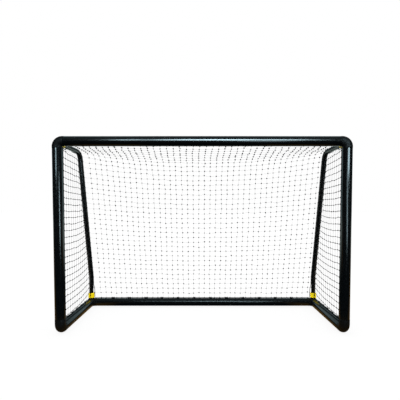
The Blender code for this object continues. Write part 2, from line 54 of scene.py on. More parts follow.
FRAME_BODY = "frame"
SIDES = (("left", -1), ("right", 1))
REAR_HOOKS = 12
SIDE_HOOKS = 6
MM = 0.001


def middle(node):
    low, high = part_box(node)
    return (low + high) / 2


def width(node, axis):
    low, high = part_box(node)
    return high[axis] - low[axis]


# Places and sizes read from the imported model
POST_X = middle("right_post").x
POST_Y = middle("right_post").y
REAR_Y = middle("rear_bar").y
GROUND_Z = middle("rear_bar").z
CROSSBAR_Z = middle("crossbar").z
TUBE_RADIUS = width("crossbar", 2) / 2
BRACE_RADIUS = width("left_brace", 0) / 2
BRACE_TOP_Z = middle("left_upper_collar").z
COLLAR_RADIUS = width("left_lower_collar", 0) / 2
COLLAR_LENGTH = width("left_lower_collar", 2)
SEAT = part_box("left_lower_collar")[0].z - GROUND_Z
SEAM = POST_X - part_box("crossbar")[1].x
FOOT_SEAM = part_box("left_post")[0].z - GROUND_Z
BUTTON_HEIGHT = middle("left_lower_button").z - GROUND_Z

# Sizes that the braces' path and the joints repeat from the model's source
BRACE_APEX_REACH = 0.564
BRACE_TOP_BEND = 0.110
BRACE_FOOT_HEIGHT = 0.380
BRACE_FOOT_BEND = 0.300
BRACE_WALL = 1.5 * MM
BRACE_FIT = 1.1 * MM
TUBE_WALL = 1.2 * MM
CORNER_RADIUS = TUBE_RADIUS + 0.8 * MM
CORNER_BEND = CORNER_RADIUS + 5.2 * MM
SEAT_RADIUS = COLLAR_RADIUS - 1.5 * MM
PLUG_RADIUS = BRACE_RADIUS - BRACE_WALL - BRACE_FIT
PLUG_WALL = 3 * MM
PLUG_LENGTH = 90 * MM
SEAT_GAP = 0.4 * MM
SEAM_GAP = 0.3 * MM
HOOK_SEAT = TUBE_RADIUS + 0.3 * MM

# Net: rows and columns as measured in the photograph, and cords as thick as they show there
MESH = 67.9 * MM
COLUMN_PITCH = 68.3 * MM
COLUMN_SHIFT = 26 * MM
BACK_ROWS = 37
ROWS_CLOSER_UP = 0.09
SAG_ACROSS = 2.2
SIDE_FIRST_ROW = 72 * MM
LEAN_AT_CROSSBAR = 16 * MM
TWINE = 0.95 * MM
SIDE_LEVEL_TWINE = 4.4 * MM
SIDE_UPRIGHT_TWINE = 1.5 * MM
KNOT = 16.5 * MM
SIDE_KNOT_SHARE = 0.82
BORDER = 7.5 * MM
LACING = 4.0 * MM
SIDE_COLUMNS = 12

# Room between the net's cords and what they pass
CORD_GAP = 0.5 * MM
BRACE_CLEAR = BRACE_RADIUS + BORDER / 2 + CORD_GAP
COLLAR_CLEAR = COLLAR_RADIUS + 12 * MM
SIDE_TOP = BRACE_TOP_Z - COLLAR_CLEAR
SIDE_REAR = REAR_Y - COLLAR_CLEAR
SIDE_LOW = GROUND_Z + TUBE_RADIUS + 4 * MM

# Where the back net hangs halfway between the braces, as (y, z)
HANGING_LINE = [
    (-0.400, 1.937), (-0.250, 1.885), (-0.100, 1.845), (0.030, 1.790), (0.120, 1.660),
    (0.190, 1.440), (0.245, 1.180), (0.300, 0.920), (0.355, 0.660), (0.410, 0.390),
]

# Facets of the smooth pieces
TUBE_SIDES = 72
BRACE_SIDES = 40
PIN_SIDES = 32
BEND_STEPS = 18


def linear(code):
    """An sRGB hex colour as linear RGBA."""
    parts = [int(code[i:i + 2], 16) / 255 for i in (1, 3, 5)]
    return (*[p / 12.92 if p <= 0.04045 else ((p + 0.055) / 1.055) ** 2.4 for p in parts], 1.0)


def fill(tree, node, inputs):
    """Set or link a node's inputs."""
    for key, value in inputs.items():
        if isinstance(value, bpy.types.NodeSocket):
            tree.links.new(value, node.inputs[key])
        else:
            node.inputs[key].default_value = value


def add(tree, kind, inputs=None, **settings):
    """Add a node, set its properties, and set or link its inputs."""
    made = tree.nodes.new(kind)
    for key, value in settings.items():
        setattr(made, key, value)
    fill(tree, made, inputs or {})
    return made


def per_size(size):
    """Texture scale whose pattern repeats about once in a size in metres."""
    return 1.0 / size


def new_finish(name):
    """A material, with its tree, its Principled BSDF and its object coordinates."""
    made = bpy.data.materials.new(name)
    made.use_nodes = True
    tree = made.node_tree
    place = add(tree, "ShaderNodeTexCoord").outputs["Object"]
    return made, tree, tree.nodes["Principled BSDF"], place


def dress(tree, shader, settings, tones, rough, relief=None):
    """Set up a shader, with its colour, roughness and relief drawn by patterns."""
    factor, dark, light = tones
    colour = add(tree, "ShaderNodeMixRGB", {
        "Fac": factor, "Color1": linear(dark), "Color2": linear(light),
    })
    inputs = {**settings, "Base Color": colour.outputs["Color"]}
    inputs["Roughness"] = add(tree, "ShaderNodeMapRange", rough).outputs["Result"]
    if relief:
        inputs["Normal"] = add(tree, "ShaderNodeBump", relief).outputs["Normal"]
    fill(tree, shader, inputs)


def powder_coated_steel():
    """Polyester powder coat on steel tube, oven-cured.

    Near-black with a green-blue cast. The cured film flows out to a gloss with
    a faint orange peel, so lamps show as soft-edged bands along the tubes.
    """
    made, tree, shader, place = new_finish("powder_coated_steel")
    cloud = add(tree, "ShaderNodeTexNoise", {
        "Vector": place, "Scale": per_size(0.18), "Detail": 3.0, "Roughness": 0.55,
    }).outputs["Fac"]
    peel = add(tree, "ShaderNodeTexNoise", {
        "Vector": place, "Scale": per_size(3.5 * MM), "Detail": 1.0,
    }).outputs["Fac"]
    dress(
        tree, shader, {"IOR": 1.5, "Metallic": 0.0}, (cloud, "#030608", "#06090B"),
        rough={"Value": cloud, "From Min": 0.3, "From Max": 0.7, "To Min": 0.2, "To Max": 0.22},
        relief={"Height": peel, "Strength": 0.12, "Distance": 0.05 * MM},
    )
    return made


def moulded_polypropylene():
    """Injection-moulded black polypropylene from a spark-eroded tool.

    The fine grain scatters the light, so the corners look satin beside the
    tubes. The grain is drawn at 1.5 mm, coarser than the real 0.3 mm.
    """
    made, tree, shader, place = new_finish("moulded_polypropylene")
    cloud = add(tree, "ShaderNodeTexNoise", {
        "Vector": place, "Scale": per_size(0.05), "Detail": 4.0,
    }).outputs["Fac"]
    grain = add(tree, "ShaderNodeTexNoise", {
        "Vector": place, "Scale": per_size(1.5 * MM), "Detail": 2.0,
    }).outputs["Fac"]
    dress(
        tree, shader, {"IOR": 1.49, "Specular IOR Level": 0.22}, (cloud, "#040607", "#080B0C"),
        rough={"Value": grain, "To Min": 0.48, "To Max": 0.6},
        relief={"Height": grain, "Strength": 0.3, "Distance": 0.1 * MM},
    )
    return made


def moulded_abs_yellow():
    """Moulded yellow ABS: even, saturated colour under a soft gloss."""
    made, tree, shader, place = new_finish("moulded_abs_yellow")
    cloud = add(tree, "ShaderNodeTexNoise", {
        "Vector": place, "Scale": per_size(0.02), "Detail": 3.0,
    }).outputs["Fac"]
    fine = add(tree, "ShaderNodeTexNoise", {
        "Vector": place, "Scale": per_size(1.2 * MM), "Detail": 2.0,
    }).outputs["Fac"]
    dress(
        tree, shader, {"IOR": 1.53, "Specular IOR Level": 0.3}, (cloud, "#FFDE00", "#FFE800"),
        rough={"Value": fine, "To Min": 0.34, "To Max": 0.46},
        relief={"Height": fine, "Strength": 0.08, "Distance": 0.2 * MM},
    )
    return made


def acetal_button():
    """Moulded black acetal: slippery, with a waxy half gloss."""
    made, tree, shader, place = new_finish("acetal_button")
    fine = add(tree, "ShaderNodeTexNoise", {
        "Vector": place, "Scale": per_size(0.9 * MM), "Detail": 2.0,
    }).outputs["Fac"]
    dress(
        tree, shader, {"IOR": 1.48}, (fine, "#08090A", "#101112"),
        rough={"Value": fine, "To Min": 0.38, "To Max": 0.5},
    )
    return made


def rolled_spring_steel():
    """Cold-rolled spring steel: bright, with fine rolling lines."""
    made, tree, shader, place = new_finish("rolled_spring_steel")
    stretched = add(tree, "ShaderNodeMapping", {"Vector": place, "Scale": (1.0, 1.0, 0.08)})
    lines = add(tree, "ShaderNodeTexNoise", {
        "Vector": stretched.outputs["Vector"], "Scale": per_size(0.6 * MM), "Detail": 3.0,
    }).outputs["Fac"]
    dress(
        tree, shader, {"Metallic": 1.0}, (lines, "#A8A8AB", "#C6C6C8"),
        rough={"Value": lines, "To Min": 0.24, "To Max": 0.38},
    )
    return made


def polyethylene_twine(name, lay):
    """Twisted black polyethylene twine: stiff fibres with a dry sheen.

    lay is the real length of one turn of the strands in metres. Its slanting bands go into the bump and
    also into the colour, as painted shade in the grooves and a painted sheen on the crowns.
    """
    made, tree, shader, place = new_finish(name)
    slanted = add(tree, "ShaderNodeMapping", {"Vector": place, "Rotation": (0.5, 0.6, 0.4)})
    twist_and_shade = add(tree, "ShaderNodeTexWave", {
        "Vector": slanted.outputs["Vector"], "Scale": per_size(lay) / (2 * math.pi),
        "Distortion": 1.5, "Detail": 1.0,
    }, wave_type="BANDS", bands_direction="DIAGONAL").outputs["Fac"]
    # The colour follows the lay's bands: painted shade in the grooves and a painted sheen on the
    # crowns.
    dress(
        tree, shader, {"IOR": 1.51}, (twist_and_shade, "#0C0E10", "#1E2124"),
        rough={"Value": twist_and_shade, "To Min": 0.62, "To Max": 0.8},
        relief={"Height": twist_and_shade, "Strength": 0.4, "Distance": 0.3 * MM},
    )
    return made


STEEL_TUBE = powder_coated_steel()
CORNER_PLASTIC = moulded_polypropylene()
COLLAR_PLASTIC = moulded_abs_yellow()
BUTTON_PLASTIC = acetal_button()
SPRING_STEEL = rolled_spring_steel()
NET_TWINE = polyethylene_twine("net_twine", 4 * MM)
BORDER_ROPE = polyethylene_twine("border_rope", 14 * MM)


def show(name, shape, finish, replaces=(), body=FRAME_BODY, angle=35):
    """Add a piece that rides on a body, smooth apart from edges sharper than an angle."""
    mesh = bpy.data.meshes.new(name)
    shape.to_mesh(mesh)
    shape.free()
    mesh.shade_smooth()
    mesh.set_sharp_from_angle(angle=math.radians(angle))
    mesh.materials.append(finish)
    piece = bpy.data.objects.new(name, mesh)
    SCENE.collection.objects.link(piece)
    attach(piece, body)
    if replaces:
        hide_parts(*replaces)


def along(start, direction):
    """A place at start whose Z axis points along direction."""
    turn = Vector((0, 0, 1)).rotation_difference(Vector(direction))
    return Matrix.Translation(start) @ turn.to_matrix().to_4x4()


def turned(profile, sides, place, closed=False):
    """A profile of (radius, height) points turned round the Z axis of a place."""
    shape = bmesh.new()
    points = [shape.verts.new((radius, 0.0, height)) for radius, height in profile]
    edges = [shape.edges.new(pair) for pair in zip(points, points[1:])]
    if closed:
        edges.append(shape.edges.new((points[-1], points[0])))
    bmesh.ops.spin(
        shape, geom=points + edges, cent=(0, 0, 0), axis=(0, 0, 1),
        angle=math.tau, steps=sides, use_merge=True,
    )
    bmesh.ops.remove_doubles(shape, verts=shape.verts, dist=1e-6)
    bmesh.ops.recalc_face_normals(shape, faces=shape.faces)
    bmesh.ops.transform(shape, matrix=place, verts=shape.verts)
    return shape


def rounded_end(radius, height, edge, way, steps=3):
    """Points of a rounded outer edge, from the side to the end face."""
    return [
        (radius - edge + edge * math.cos(angle), height + way * (edge * math.sin(angle) - edge))
        for angle in (math.pi / 2 * i / steps for i in range(steps + 1))
    ]


def combined(name, shapes, operation, wall=0.0):
    """Join or cut closed shapes into one closed mesh. An open first shape gets a wall."""
    pieces = []
    for i, shape in enumerate(shapes):
        mesh = bpy.data.meshes.new(f"{name}_{i}")
        shape.to_mesh(mesh)
        shape.free()
        pieces.append(bpy.data.objects.new(mesh.name, mesh))
        SCENE.collection.objects.link(pieces[-1])
    base, *others = pieces
    if wall:
        thicken = base.modifiers.new("wall", "SOLIDIFY")
        thicken.thickness = wall
        thicken.offset = -1.0
    for other in others:
        step = base.modifiers.new(other.name, "BOOLEAN")
        step.operation = operation
        step.solver = "EXACT"
        step.object = other
    return applied(pieces)


def applied(pieces):
    """The first object's final shape as a bmesh. The objects are removed."""
    bpy.context.view_layer.update()
    evaluated = pieces[0].evaluated_get(bpy.context.evaluated_depsgraph_get())
    mesh = bpy.data.meshes.new_from_object(evaluated)
    for piece in pieces:
        bpy.data.objects.remove(piece)
    shape = bmesh.new()
    shape.from_mesh(mesh)
    bpy.data.meshes.remove(mesh)
    return shape


def straight_tube(node, start, end):
    """A main tube with rolled ends between two seams."""
    start, end = Vector(start), Vector(end)
    length = (end - start).length
    edge = 0.9 * MM
    bore = TUBE_RADIUS - TUBE_WALL
    profile = [
        *rounded_end(TUBE_RADIUS, length, edge, 1)[::-1],
        *rounded_end(TUBE_RADIUS, 0.0, edge, -1),
        (bore, 0.0), (bore, length),
    ]
    shape = turned(profile, TUBE_SIDES, along(start, end - start), closed=True)
    show(f"{node}_tube", shape, STEEL_TUBE, [node])


def only(kind, items):
    """The vertices or the edges among a bmesh operator's results."""
    return [item for item in items if isinstance(item, kind)]


def extend(shape, edges, move, grow=1.0):
    """Extrude a ring of edges, move it and scale it about its middle."""
    made = bmesh.ops.extrude_edge_only(shape, edges=edges)["geom"]
    points = only(bmesh.types.BMVert, made)
    bmesh.ops.translate(shape, verts=points, vec=move)
    if grow != 1.0:
        centre = sum((point.co for point in points), Vector()) / len(points)
        bmesh.ops.scale(
            shape, verts=points, vec=(grow, grow, grow), space=Matrix.Translation(-centre),
        )
    return [edge for edge in only(bmesh.types.BMEdge, made) if edge.is_boundary]


def elbow(corner, leg_a, leg_b, seam_a, seam_b):
    """A moulded elbow: a rounded lip, a lead, the bend, a lead and a lip."""
    corner, leg_a, leg_b = Vector(corner), Vector(leg_a), Vector(leg_b)
    edge = 1.2 * MM
    lip = CORNER_RADIUS - edge
    half_rise = edge * math.sin(math.pi / 4)
    half_lip = lip + half_rise
    # Each lip is rounded in two steps: how far along, and how much wider.
    widening = [(edge - half_rise, half_lip / lip), (half_rise, CORNER_RADIUS / half_lip)]
    shape = bmesh.new()
    bmesh.ops.create_circle(
        shape, cap_ends=True, segments=TUBE_SIDES, radius=lip,
        matrix=along(corner + leg_a * seam_a, -leg_a),
    )
    ring = list(shape.edges)
    for past, grow in widening:
        ring = extend(shape, ring, -leg_a * past, grow)
    ring = extend(shape, ring, -leg_a * (seam_a - edge - CORNER_BEND))
    made = bmesh.ops.spin(
        shape, geom=ring, cent=corner + (leg_a + leg_b) * CORNER_BEND, axis=leg_a.cross(leg_b),
        angle=-math.pi / 2, steps=BEND_STEPS, use_merge=False,
    )
    ring = only(bmesh.types.BMEdge, made["geom_last"])
    ring = extend(shape, ring, leg_b * (seam_b - edge - CORNER_BEND))
    for past, grow in reversed(widening):
        ring = extend(shape, ring, leg_b * past, 1 / grow)
    bmesh.ops.edgeloop_fill(shape, edges=ring)
    bmesh.ops.remove_doubles(shape, verts=shape.verts, dist=1e-6)
    bmesh.ops.recalc_face_normals(shape, faces=shape.faces)
    return shape


def socket_shapes(place):
    """The collar's seat and the brace's plug on a corner."""
    root, edge, chamfer = 30 * MM, 1.5 * MM, 1 * MM
    top, hollow = SEAT + PLUG_LENGTH, SEAT + 2 * MM
    inner = PLUG_RADIUS - PLUG_WALL
    seat = [(0.0, root), (SEAT_RADIUS, root), *rounded_end(SEAT_RADIUS, SEAT, edge, 1), (0.0, SEAT)]
    plug = [
        (0.0, root), (PLUG_RADIUS, root), (PLUG_RADIUS, top - chamfer), (PLUG_RADIUS - chamfer, top),
        (inner, top), (inner, hollow), (0.0, hollow),
    ]
    return [turned(seat, TUBE_SIDES, place), turned(plug, BRACE_SIDES, place)]


def flat_sole(shape):
    """Cut a ground corner flat at the floor."""
    cut = bmesh.ops.bisect_plane(
        shape, geom=[*shape.verts, *shape.edges, *shape.faces], dist=1e-7,
        plane_co=(0, 0, 0), plane_no=(0, 0, -1), clear_outer=True,
    )
    bmesh.ops.holes_fill(shape, edges=only(bmesh.types.BMEdge, cut["geom_cut"]), sides=0)
    bmesh.ops.recalc_face_normals(shape, faces=shape.faces)
    return shape


def socket_places(side):
    """Places of the two brace sockets on one side: Z along the brace."""
    upper = (
        Matrix.Translation((side * POST_X, POST_Y, BRACE_TOP_Z))
        @ Matrix.Rotation(-math.pi / 2, 4, "X")
        @ Matrix.Rotation(math.pi, 4, "Z")
    )
    lower = Matrix.Translation((side * POST_X, REAR_Y, GROUND_Z))
    return {"upper": upper, "lower": lower}


def show_corner(name, shape):
    show(f"{name}_moulding", shape, CORNER_PLASTIC, [name])


def arc_points(centre, radius, first, last, steps):
    return [
        Vector((centre[0] + radius * math.cos(angle), centre[1] + radius * math.sin(angle)))
        for angle in (first + (last - first) * i / steps for i in range(steps + 1))
    ]


def brace_line():
    """Centre line of a brace as (y, z) points, from its top end to its foot."""
    apex = Vector((POST_Y + BRACE_APEX_REACH, BRACE_TOP_Z))
    knee = Vector((REAR_Y, BRACE_FOOT_HEIGHT))
    slope = (knee - apex).normalized()
    lean = math.atan2(slope.x, -slope.y)
    top_tangent = BRACE_TOP_BEND * math.tan((math.pi / 2 - lean) / 2)
    foot_tangent = BRACE_FOOT_BEND * math.tan(lean / 2)
    top_centre = (apex.x - top_tangent, apex.y - BRACE_TOP_BEND)
    foot_centre = (REAR_Y - BRACE_FOOT_BEND, knee.y - foot_tangent)
    return [
        Vector((POST_Y + SEAT + SEAT_GAP, BRACE_TOP_Z)),
        *arc_points(top_centre, BRACE_TOP_BEND, math.pi / 2, lean, 16),
        *arc_points(foot_centre, BRACE_FOOT_BEND, lean, 0.0, 8),
        Vector((REAR_Y, GROUND_Z + SEAT + SEAT_GAP)),
    ]


def cord_mesh(name, routes, thickness, sides=6, caps=True):
    """Round cords along routes, as one mesh made from a bevelled curve."""
    curve = bpy.data.curves.new(name, "CURVE")
    curve.dimensions = "3D"
    curve.bevel_depth = thickness / 2
    curve.bevel_resolution = (sides - 4) // 2
    curve.use_fill_caps = caps
    for route in routes:
        spline = curve.splines.new("POLY")
        spline.points.add(len(route) - 1)
        for point, place in zip(spline.points, route):
            point.co = (*place, 1.0)
    holder = bpy.data.objects.new(name, curve)
    SCENE.collection.objects.link(holder)
    shape = applied([holder])
    bmesh.ops.remove_doubles(shape, verts=shape.verts, dist=1e-6)
    return shape


def button_frame(place):
    """Place of a button: its Z axis points out of the brace."""
    return place @ Matrix.Translation((0, 0, BUTTON_HEIGHT)) @ Matrix.Rotation(math.pi / 2, 4, "X")


def brace_tube(label, side, sockets):
    """A bent brace tube, open at both ends like the real one, with the lock pins' holes."""
    line = brace_line()
    top, foot = (line[1] - line[0]).normalized(), (line[-2] - line[-1]).normalized()
    # Rings close to each end keep the shading of the long straight parts true.
    reaches = (1 * MM, COLLAR_LENGTH)
    near_top = [line[0] + top * reach for reach in reaches]
    near_foot = [line[-1] + foot * reach for reach in reversed(reaches)]
    line = [line[0], *near_top, *line[1:-1], *near_foot, line[-1]]
    route = [(side * POST_X, y, z) for y, z in line]
    name = f"{label}_brace_tube"
    shape = cord_mesh(name, [route], 2 * BRACE_RADIUS, BRACE_SIDES, caps=False)
    bmesh.ops.recalc_face_normals(shape, faces=shape.faces)
    inside, outside, radius = PLUG_RADIUS, BRACE_RADIUS + 1 * MM, 5.2 * MM
    hole = [(0.0, inside), (radius, inside), (radius, outside), (0.0, outside)]
    holes = [turned(hole, PIN_SIDES, button_frame(place)) for place in sockets.values()]
    shape = combined(name, [shape, *holes], "DIFFERENCE", wall=BRACE_WALL)
    show(name, shape, STEEL_TUBE, [f"{label}_brace"])


def box_shape(low, high, place):
    """A box between two corners, given in a place's own axes."""
    shape = bmesh.new()
    low, high = Vector(low), Vector(high)
    matrix = place @ Matrix.Translation((low + high) / 2) @ Matrix.Diagonal((*(high - low), 1.0))
    bmesh.ops.create_cube(shape, size=1.0, matrix=matrix)
    return shape


def collar(name, place):
    """Yellow collar: rounded ends, a button hole with a flared rim, and grip grooves."""
    bore = BRACE_RADIUS + BRACE_FIT
    low, high = SEAT, SEAT + COLLAR_LENGTH
    edge, chamfer, groove = 3 * MM, 1 * MM, 0.7 * MM
    profile = rounded_end(COLLAR_RADIUS, high, edge, 1, 4)[::-1]
    for height in (high - 7 * MM, low + 9 * MM):
        profile += [
            (COLLAR_RADIUS, height), (COLLAR_RADIUS - groove, height - groove),
            (COLLAR_RADIUS - groove, height - 2 * groove), (COLLAR_RADIUS, height - 3 * groove),
        ]
    profile += [
        *rounded_end(COLLAR_RADIUS, low, edge, -1, 4),
        (bore + chamfer, low), (bore, low + chamfer), (bore, high - chamfer), (bore + chamfer, high),
    ]
    shape = turned(profile, TUBE_SIDES, place, closed=True)
    hole_radius, rim_radius = 7.6 * MM, 10.5 * MM
    inside, rim, outside = bore - 4 * MM, COLLAR_RADIUS - 1 * MM, COLLAR_RADIUS + 1.5 * MM
    hole = [
        (0.0, inside), (hole_radius, inside), (hole_radius, rim), (rim_radius, outside), (0.0, outside),
    ]
    cutters = [turned(hole, PIN_SIDES, button_frame(place))]
    grips, first, pitch, tall, reach = 4, 17 * MM, 7.5 * MM, 3 * MM, 11 * MM
    bottom = COLLAR_RADIUS - 1.3 * MM
    for flank in (-1, 1):
        near, far = sorted((flank * bottom, flank * (bottom + 2 * MM)))
        for step in range(grips):
            height = low + first + step * pitch
            cutters.append(box_shape((near, -reach, height), (far, reach, height + tall), place))
    shape = combined(name, [shape, *cutters], "DIFFERENCE")
    show(f"{name}_shell", shape, COLLAR_PLASTIC, [name])


def push_button(label, place):
    """Button cap with a rounded rim and a dished face, on its lip and nose."""
    radius, lip_radius, nose_radius = 7 * MM, 8.8 * MM, 4.2 * MM
    tip = COLLAR_RADIUS + 2.5 * MM
    lip_top = BRACE_RADIUS + 4.9 * MM
    lip_foot, nose = lip_top - 1.8 * MM, BRACE_RADIUS + 0.3 * MM
    profile = [
        (0.0, tip - 1.0 * MM), (2.5 * MM, tip - 0.8 * MM), (4.5 * MM, tip - 0.2 * MM),
        *rounded_end(radius, tip, 1.5 * MM, 1, 4)[::-1],
        (radius, lip_top), (lip_radius, lip_top), (lip_radius, lip_foot),
        (nose_radius, lip_foot), (nose_radius, nose), (0.0, nose),
    ]
    shape = turned(profile, BRACE_SIDES, button_frame(place))
    show(
        f"{label}_button_cap", shape, BUTTON_PLASTIC, [f"{label}_button"],
        body=f"button_{label}",
    )


def lock_pin(label, place):
    """Turned lock pin with a chamfered tip and a round head."""
    radius, head_radius, edge = 4.8 * MM, 8.5 * MM, 0.6 * MM
    tip = BRACE_RADIUS - 0.3 * MM
    head = PLUG_RADIUS - PLUG_WALL - 3 * MM
    foot = head - 2 * MM
    profile = [
        (0.0, tip), (radius - edge, tip), (radius, tip - edge), (radius, head),
        *rounded_end(head_radius, head, edge, 1)[::-1],
        *rounded_end(head_radius, foot, edge, -1), (0.0, foot),
    ]
    shape = turned(profile, PIN_SIDES, button_frame(place))
    show(
        f"{label}_lock_pin_turned", shape, SPRING_STEEL, [f"{label}_lock_pin"],
        body=f"button_{label}",
    )


def lobe(x, radius, rise, depth):
    """One rounded lobe of a net hook: a short bar along Y with soft rims."""
    edge = 1.6 * MM
    profile = [
        (0.0, depth / 2), *rounded_end(radius, depth / 2, edge, 1)[::-1],
        *rounded_end(radius, -depth / 2, edge, -1), (0.0, -depth / 2),
    ]
    return turned(profile, 28, Matrix.Translation((x, 0, rise)) @ Matrix.Rotation(math.pi / 2, 4, "X"))


def saddle(length, depth, thickness, over):
    """A pad that follows a tube's round top, along X, from its crown outwards."""
    shape = bmesh.new()
    bmesh.ops.create_grid(shape, x_segments=10, y_segments=10, size=0.5)
    bmesh.ops.scale(shape, verts=shape.verts, vec=(length, depth, 1.0))
    for point in shape.verts:
        point.co.z = math.sqrt(over ** 2 - point.co.y ** 2) - over
    made = bmesh.ops.extrude_face_region(shape, geom=list(shape.faces))["geom"]
    bmesh.ops.translate(shape, verts=only(bmesh.types.BMVert, made), vec=(0, 0, thickness))
    bmesh.ops.recalc_face_normals(shape, faces=shape.faces)
    return shape


def rear_hook_shape():
    """Two-lobed hook on a saddle, with its base at the origin."""
    pad = saddle(length=34 * MM, depth=22 * MM, thickness=2.4 * MM, over=HOOK_SEAT)
    lobes = [
        lobe(x, radius=8.2 * MM, rise=7.4 * MM, depth=11.6 * MM) for x in (-9.6 * MM, 9.6 * MM)
    ]
    return combined("rear_hook", [pad, *lobes], "UNION")


def side_hook_shape(side):
    """Small hook with a lip that faces outwards, with its base at the origin."""
    pad = saddle(length=15 * MM, depth=14 * MM, thickness=1.8 * MM, over=HOOK_SEAT)
    bmesh.ops.rotate(pad, verts=pad.verts, matrix=Matrix.Rotation(math.pi / 2, 3, "Z"))
    half = 6.5 * MM
    stem = box_shape((-5 * MM, -half, -1 * MM), (4 * MM, half, 8.6 * MM), Matrix())
    lip = box_shape((-1 * MM, -half, 5.4 * MM), (8.6 * MM, half, 11.6 * MM), Matrix())
    for block in (stem, lip):
        bmesh.ops.bevel(
            block, geom=list(block.edges), offset=1.4 * MM, segments=3, affect="EDGES",
            profile=0.5, material=-1,
        )
    shape = combined("side_hook", [pad, stem, lip], "UNION")
    bmesh.ops.scale(shape, verts=shape.verts, vec=(side, 1, 1))
    bmesh.ops.recalc_face_normals(shape, faces=shape.faces)
    return shape


def show_hook(node, hook, place):
    """A copy of a hook, moved to its place."""
    clip = hook.copy()
    bmesh.ops.transform(clip, matrix=place, verts=clip.verts)
    show(f"{node}_clip", clip, CORNER_PLASTIC, [node])


def net_hooks():
    """Every hook stands where its node stands."""
    rear = rear_hook_shape()
    for number in range(1, REAR_HOOKS + 1):
        node = f"rear_net_hook_{number:02d}"
        show_hook(node, rear, Matrix.Translation((middle(node).x, REAR_Y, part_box(node)[0].z)))
    lean = math.radians(32)
    for label, side in SIDES:
        hook = side_hook_shape(side)
        for number in range(1, SIDE_HOOKS + 1):
            node = f"{label}_net_hook_{number}"
            show_hook(node, hook, (
                Matrix.Translation((side * POST_X, middle(node).y, GROUND_Z))
                @ Matrix.Rotation(side * lean, 4, "Y")
                @ Matrix.Translation((0, 0, HOOK_SEAT))
            ))


class Line:
    """A path of points that gives a place by its share of the length."""

    def __init__(self, points):
        self.points = [Vector(point) for point in points]
        self.marks = [0.0]
        for a, b in zip(self.points, self.points[1:]):
            self.marks.append(self.marks[-1] + (b - a).length)
        self.length = self.marks[-1]

    def at(self, share):
        target = min(max(share, 0.0), 1.0) * self.length
        for i in range(1, len(self.marks)):
            if target <= self.marks[i] or i == len(self.marks) - 1:
                span = self.marks[i] - self.marks[i - 1]
                return self.points[i - 1].lerp(self.points[i], (target - self.marks[i - 1]) / span)


def smooth_line(points, steps=8):
    """A smooth curve through points."""
    points = [Vector((0, *point)) for point in points]
    route = []
    for i in range(len(points) - 1):
        before, here = points[max(i - 1, 0)], points[i]
        ahead, after = points[i + 1], points[min(i + 2, len(points) - 1)]
        curve = interpolate_bezier(
            here, here + (ahead - before) / 6, ahead - (after - here) / 6, ahead, steps + 1,
        )
        route += curve[:-1]
    return [Vector((point.y, point.z)) for point in [*route, points[-1]]]


def eased(value, low, high):
    """0 below low, 1 above high, and a smooth rise between."""
    share = min(max((value - low) / (high - low), 0.0), 1.0)
    return share * share * (3 - 2 * share)


def knot_mesh():
    """One knot: two short lumps of twine that cross."""
    shape = bmesh.new()
    for stretch in ((0.9, 0.66, 0.66), (0.68, 0.74, 1.0)):
        lump = bmesh.ops.create_uvsphere(shape, u_segments=6, v_segments=4, radius=KNOT / 2)
        bmesh.ops.scale(shape, verts=lump["verts"], vec=stretch)
    mesh = bpy.data.meshes.new("knot")
    shape.to_mesh(mesh)
    shape.free()
    return mesh


def twine_run(knots, droop, dice):
    """A strand through knots that hangs a little between them."""
    route = [knots[0]]
    tightest, loosest = 0.4, 1.3
    for a, b in zip(knots, knots[1:]):
        level = 1.0 - abs((b - a).normalized().z)
        sag = droop * level * dice.uniform(tightest, loosest)
        route.append(a.lerp(b, 0.5) - Vector((0, 0, sag)))
        route.append(b)
    return route


def show_twine(name, routes, thickness, replaces=()):
    shape = cord_mesh(name, routes, thickness)
    show(name, shape, NET_TWINE, replaces, angle=180)


def show_rope(name, routes, thickness, sides=6):
    shape = cord_mesh(name, routes, thickness, sides)
    show(name, shape, BORDER_ROPE, angle=60)


def show_knots(name, places, dice, finish, size=1.0):
    """A knot at each place, each turned and sized a little differently."""
    knot = knot_mesh()
    count = len(knot.vertices)
    tilt, smallest, largest = 0.6, 0.85, 1.15
    shape = bmesh.new()
    for place in places:
        shape.from_mesh(knot)
        shape.verts.ensure_lookup_table()
        turn = Euler([dice.uniform(-tilt, tilt) for _ in range(3)]).to_matrix().to_4x4()
        grow = Matrix.Scale(size * dice.uniform(smallest, largest), 4)
        bmesh.ops.transform(
            shape, matrix=Matrix.Translation(place) @ turn @ grow, verts=shape.verts[-count:],
        )
    bpy.data.meshes.remove(knot)
    show(name, shape, finish, angle=180)


def back_border(distance, length):
    """How far from the middle the back net's side border runs, clear of the collars."""
    past_collar = SEAT + COLLAR_LENGTH
    ease = 50 * MM
    near = min(distance, length - distance)
    along_brace = POST_X - BRACE_CLEAR
    beside_collar = POST_X - COLLAR_RADIUS - BORDER / 2 - CORD_GAP
    return beside_collar + (along_brace - beside_collar) * eased(near, past_collar, past_collar + ease)


